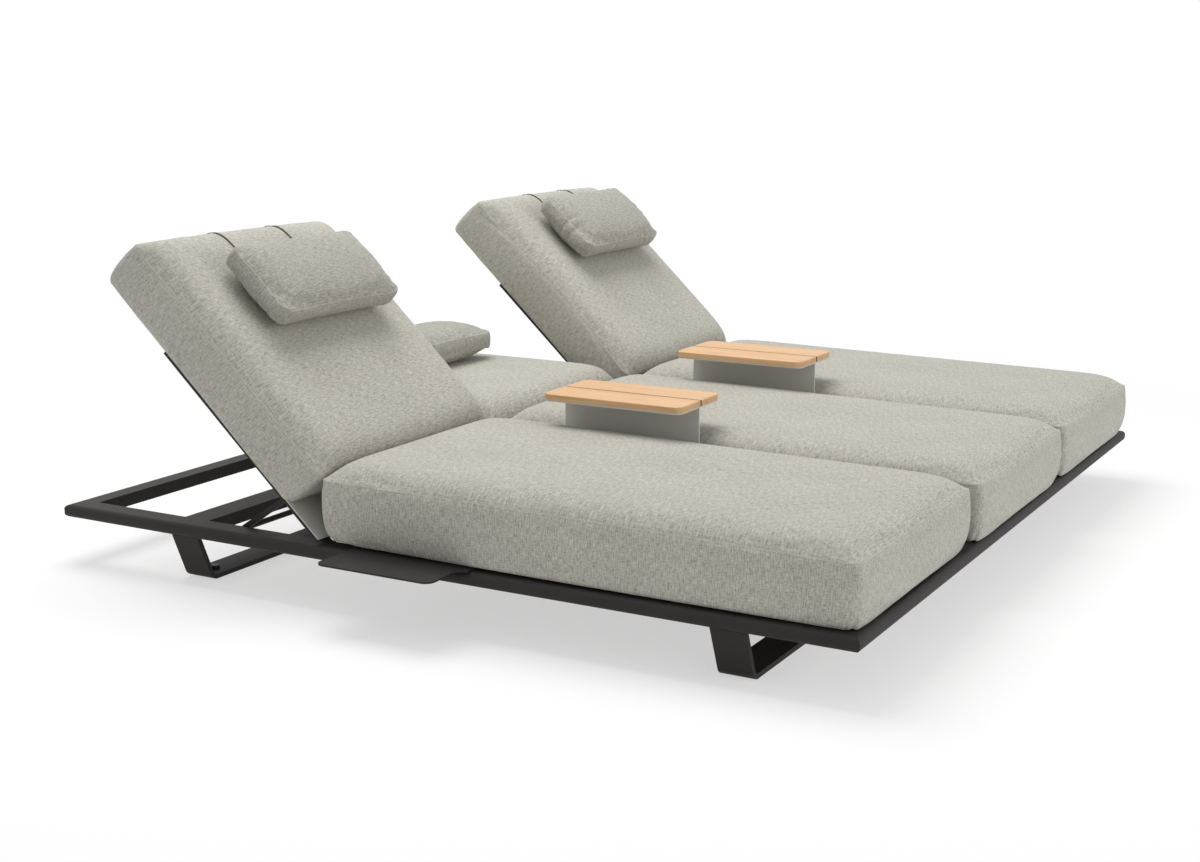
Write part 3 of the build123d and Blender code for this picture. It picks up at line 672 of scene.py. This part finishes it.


# %% [markdown]
# ## Seat cushions
#
# Each is a thick boxed cushion, 70 cm wide and 1.3 m long. One form is simulated, and its three
# copies differ in their puckers and places: the photograph has the left one pushed towards the back
# and the others a little over the foot rail. A back that is lowered presses on the cushion before it;
# SEAT_GIVE holds how far, in metres, the two with a raised back would give way at that end, and here
# those two only get meshes of their own.

# %% Make the seat cushions
SEAT_GIVE = {"left": 0.026, "middle": 0.0, "right": 0.008}
SEAT_MIDDLE = {"left": -0.391, "middle": -0.406, "right": -0.405}
SEAT_STRETCH = {"left": 1.006, "middle": 1.0, "right": 1.0}
SEAT_LENGTH, SEAT_SEAM, SEAT_CROWN = 1.296, 0.138, 0.041
SEAT_LIFT = 0.001
seat_grid = boxed_grid(CUSHION_WIDTH, SEAT_LENGTH, SEAT_SEAM, CUSHION_STEP)
seat_form = boxed_form(seat_grid, SEAT_SEAM, SEAT_CROWN, tuck=0.003, corner=0.024, corner_tuck=0.014,
                       lip=0.007, taper=0.05)
seat_swollen = swell(seat_form, seat_grid, pressure=1.2, shrink=0.015, firm=0.8, cap=0.005)
for number, (side, place) in enumerate(PLACES.items()):
    shape = puckers(seat_swollen, seat_grid, depth=0.0008, fade=0.020, seed=20 + number, shortest=0.05)
    seat_place = np.array([place["middle"], SEAT_MIDDLE[side], DECK_TOP + SEAT_LIFT])
    shape = shape * np.array([1, SEAT_STRETCH[side], 1]) + seat_place
    cushion = cloth_piece(f"seat_cushion_cloth_{side}", shape, seat_grid)
    finish_soft(cushion, f"seat_cushion_{side}", "base", cushion_cloth)
    if SEAT_GIVE[side]:
        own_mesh(cushion)

# %% [markdown]
# ## Back cushions
#
# The same make, about 70 cm square. They lie on the backs' off-white sheets, and their sides hang a little
# over the sheet's edges. A flat one is fuller than the raised ones, whose filling sits lower.

# %% Make the back cushions
BACK_LENGTH, BACK_SEAM = 0.730, 0.124
back_grid = boxed_grid(CUSHION_WIDTH, BACK_LENGTH, BACK_SEAM, CUSHION_STEP)
back_shapes = {}
for number, (side, place) in enumerate(PLACES.items()):
    raised = float(place["turn"] > 0)
    form = boxed_form(back_grid, BACK_SEAM, place["crown"], tuck=0.003, corner=0.018, corner_tuck=0.004,
                      lip=0.0055, hang=0.0125 * raised, taper=0.028 * raised, reach=0.022)
    form = swell(form, back_grid, pressure=1.2, shrink=0.012, firm=0.8, cap=0.004)
    back_shapes[side] = puckers(form, back_grid, depth=0.0010, fade=0.020, seed=30 + number, shortest=0.04)
    shape = along_back(back_shapes[side], place, place["start"] + BACK_LENGTH / 2, BACK_TOP)
    cushion = cloth_piece(f"back_cushion_cloth_{side}", shape, back_grid)
    finish_soft(cushion, f"back_cushion_{side}", f"cushion_{side}", cushion_cloth)

# %% [markdown]
# ## Pillows
#
# A small pillow lies on each back cushion. It is two full panels round a gathered band, so its
# sides show close upright folds, and both panels swell more than a cushion's, because only loose
# filling is inside.

# %% Make the pillows
PILLOW_WIDTH, PILLOW_LENGTH, PILLOW_BAND, PILLOW_STEP = 0.460, 0.225, 0.048, 0.005
PILLOW_SINK = 0.005


def pillow_rise(place):
    """How far out of the back a pillow's underside lies: on the crown, sunk into it a little."""
    return BACK_TOP + BACK_SEAM + place["crown"] - PILLOW_SINK


pillow_grid = boxed_grid(PILLOW_WIDTH, PILLOW_LENGTH, PILLOW_BAND, PILLOW_STEP)
pillow_form = boxed_form(pillow_grid, PILLOW_BAND, 0.035, tuck=0.0, corner=0.030, corner_tuck=0.0,
                         crown_low=0.039, reach=0.034, bulge=0.005, draw=0.005)
pillow_form[:, 2] -= pillow_form[:, 2].min()
pillow_swollen = swell(pillow_form, pillow_grid, pressure=2.0, shrink=0.02, firm=0.5, cap=0.006)
for number, (side, place) in enumerate(PLACES.items()):
    shape = puckers(pillow_swollen, pillow_grid, depth=0.0042, fade=0.022, seed=40 + number, shortest=0.015)
    shape = along_back(shape, place, place["start"] + place["pillow"], pillow_rise(place))
    pillow = cloth_piece(f"pillow_cloth_painted_shade_{side}", shape, pillow_grid)
    finish_soft(pillow, f"pillow_{side}", f"cushion_{side}", pillow_cloth_painted_shade)

# %% [markdown]
# ## Straps
#
# Two thin webbing straps hold each pillow. Each leaves the pillow's upper edge, lies tight on the
# cushion and turns over its top end, so its route is read from the cushion itself: the line of points
# up the front panel, down the boxing and back along the underside, lifted by less than a millimetre.
# Catmull-Rom, which passes through all of its points, makes it smooth.

# %% Make the straps
STRAP_WIDTH, STRAP_THICKNESS, STRAP_SPACING = 0.0055, 0.0014, 0.220
# A strap starts inside the pillow, this far in and this high above its underside. It meets the cushion
# this far past the pillow, lies this far off it and ends this far from the top end, behind it.
STRAP_START_IN, STRAP_START_UP = 0.004, 0.030
STRAP_LANDING, STRAP_OFF, STRAP_TAIL = 0.018, 0.0004, 0.078


def smooth_path(points, per_span):
    """Catmull-Rom curve through points: each span blends its four nearest points by cubic weights."""
    points = np.asarray(points, float)
    padded = np.vstack([2 * points[0] - points[1], points, 2 * points[-1] - points[-2]])
    t = np.linspace(0, 1, per_span, endpoint=False)[:, None]
    weights = 0.5 * np.hstack([-t + 2 * t**2 - t**3, 2 - 5 * t**2 + 3 * t**3,
                               t + 4 * t**2 - 3 * t**3, -t**2 + t**3])
    spans = np.stack([padded[i:i + len(points) - 1] for i in range(4)], 1)
    return np.vstack([np.einsum("tk,skd->std", weights, spans).reshape(-1, 2), points[-1:]])


def outward_of(path):
    """Unit vectors square to a path of (along, out) pairs, to its left."""
    along = np.gradient(path, axis=0)
    along /= np.linalg.norm(along, axis=1)[:, None]
    return np.stack([-along[:, 1], along[:, 0]], -1)


def band_mesh(path, across, width, thickness):
    """A flat band along a path of (along, out) pairs: four corners at each point, closed ends."""
    outward = outward_of(path)
    corners = []
    for side, lift in ((-1, 0), (1, 0), (1, 1), (-1, 1)):
        place = path + outward * thickness * lift
        corners.append(np.column_stack([np.full(len(path), across + side * width / 2), place]))
    points = np.stack(corners, 1).reshape(-1, 3)
    ring = np.arange(4)
    start = np.arange(len(path) - 1)[:, None] * 4
    here, beside = start + ring, start + (ring + 1) % 4
    quads = np.stack([here, beside, beside + 4, here + 4], -1).reshape(-1, 4)
    last = (len(path) - 1) * 4
    faces = np.vstack([quads, [[3, 2, 1, 0]], [[last, last + 1, last + 2, last + 3]]])
    run = np.concatenate([[0], np.cumsum(np.linalg.norm(np.diff(path, axis=0), axis=1))])
    uv = np.stack([np.tile([0, width, width + thickness, 2 * width], len(path)), np.repeat(run, 4)], -1)
    return points, faces, uv[faces].reshape(-1, 2)


def strap_route(shape, place, across):
    """(along, out) points of a strap on a back cushion's line of points nearest to across."""
    index, levels, rim = back_grid["index"], back_grid["levels"], back_grid["rim"]
    column = int(np.argmin(np.abs(back_grid["u"][index[0]] - CUSHION_WIDTH / 2 - across)))
    front = shape[index[:, column] + index.size]
    side = shape[levels[::-1, int(np.flatnonzero(rim == index[-1, column])[0])]]
    under = shape[index[::-1, column]]
    pillow_top = place["pillow"] + PILLOW_LENGTH / 2
    front = front[front[:, 1] > pillow_top - BACK_LENGTH / 2 + STRAP_LANDING]
    under = under[under[:, 1] > BACK_LENGTH / 2 - STRAP_TAIL]
    line = np.vstack([front, side[1:-1:2], under])[:, 1:]
    line = line + np.array([place["start"] + BACK_LENGTH / 2, BACK_TOP])
    start = (place["start"] + pillow_top - STRAP_START_IN, pillow_rise(place) + STRAP_START_UP)
    return np.vstack([[start], line + outward_of(line) * STRAP_OFF])


for side, place in PLACES.items():
    points, faces, uv = [], [], []
    for across in (-STRAP_SPACING / 2, STRAP_SPACING / 2):
        path = smooth_path(strap_route(back_shapes[side], place, across), per_span=4)
        strip, quads, strip_uv = band_mesh(path, across, STRAP_WIDTH, STRAP_THICKNESS)
        faces.append(quads + sum(len(p) for p in points))
        points.append(along_back(strip, place, 0.0, 0.0))
        uv.append(strip_uv)
    straps = mesh_piece(f"pillow_strap_webbing_{side}", np.vstack(points), np.vstack(faces), np.vstack(uv))
    straps.data.polygons.foreach_set("use_smooth", np.zeros(len(straps.data.polygons), bool))
    straps.data.materials.append(strap_cloth)
    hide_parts(f"pillow_straps_{side}")
    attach(straps, f"cushion_{side}")
    print(straps.name, "points on the route:", len(path))

# %% [markdown]
# ## Floor and light
#
# The photograph is a studio picture: white all round, with a soft grey shadow under the bed. The
# world is white to the camera and to reflections, by Light Path, and grey to everything else, so the
# bed is lit at a level at which its colours look as they are. The floor keeps the bed's shadow, and
# further out it fades to the same white, so no horizon shows.

# %% Floor, world and lamps
FLOOR_HALF = 30.0
FADE_START, FADE_END = 1.9, 3.2
WHITE_SHARE = 0.54
WORLD_LEVEL = 0.55


def seen_rays(material):
    """1 for the rays of the camera and of reflections, 0 for all others, in a material or a world."""
    rays = add(material, "ShaderNodeLightPath").outputs
    return math_node(material, "MAXIMUM", rays["Is Camera Ray"], rays["Is Glossy Ray"])


def floor_finish():
    """A pale matt floor. To the seen rays it is partly plain white, and all white from FADE_END on."""
    material, shader = finish("floor", (0.97, 0.97, 0.97), 0.9)
    place = add(material, "ShaderNodeTexCoord").outputs["Object"]
    away = add(material, "ShaderNodeVectorMath", [(place, 0)], operation="LENGTH").outputs["Value"]
    far = add(material, "ShaderNodeMapRange", [(away, "Value")], interpolation_type="SMOOTHSTEP",
              From_Min=FADE_START, From_Max=FADE_END, To_Min=WHITE_SHARE, To_Max=1.0).outputs[0]
    share = math_node(material, "MULTIPLY", far, seen_rays(material))
    white = add(material, "ShaderNodeEmission", Color=(1, 1, 1, 1), Strength=1.0)
    both = add(material, "ShaderNodeMixShader", [(share, 0), (shader.outputs[0], 1), (white.outputs[0], 2)])
    join(material, both.outputs[0], material.node_tree.nodes["Material Output"], "Surface")
    return material


floor_corners = FLOOR_HALF * np.array([[-1, -1, 0], [1, -1, 0], [1, 1, 0], [-1, 1, 0]])
ground = mesh_piece("floor", floor_corners, np.array([[0, 1, 2, 3]]))
ground.data.materials.append(floor_finish())

world = bpy.data.worlds.new("studio")
scene.world = world
world.use_nodes = True
background = world.node_tree.nodes["Background"]
background.inputs["Color"].default_value = (1, 1, 1, 1)
level = add(world, "ShaderNodeMapRange", [(seen_rays(world), "Value")], To_Min=WORLD_LEVEL, To_Max=1.0)
join(world, level.outputs[0], background, "Strength")


def soft_lamp(name, place, target, size, watts):
    """A square area lamp at place, facing target."""
    data = bpy.data.lights.new(name, "AREA")
    data.size, data.energy = size, watts
    lamp = bpy.data.objects.new(name, data)
    lamp.location = place
    away = np.array(target) - np.array(place)
    tilt = math.acos(-away[2] / np.linalg.norm(away))
    lamp.rotation_euler = (tilt, 0, math.atan2(away[1], away[0]) - math.pi / 2)
    scene.collection.objects.link(lamp)


BED_MIDDLE = (0, 0, 0.2)
soft_lamp("key", (0.1, 1.2, 4.7), BED_MIDDLE, size=3.2, watts=172)
soft_lamp("fill", (0.6, -6.0, 2.2), BED_MIDDLE, size=3.0, watts=88)
scene.view_settings.view_transform = "Standard"
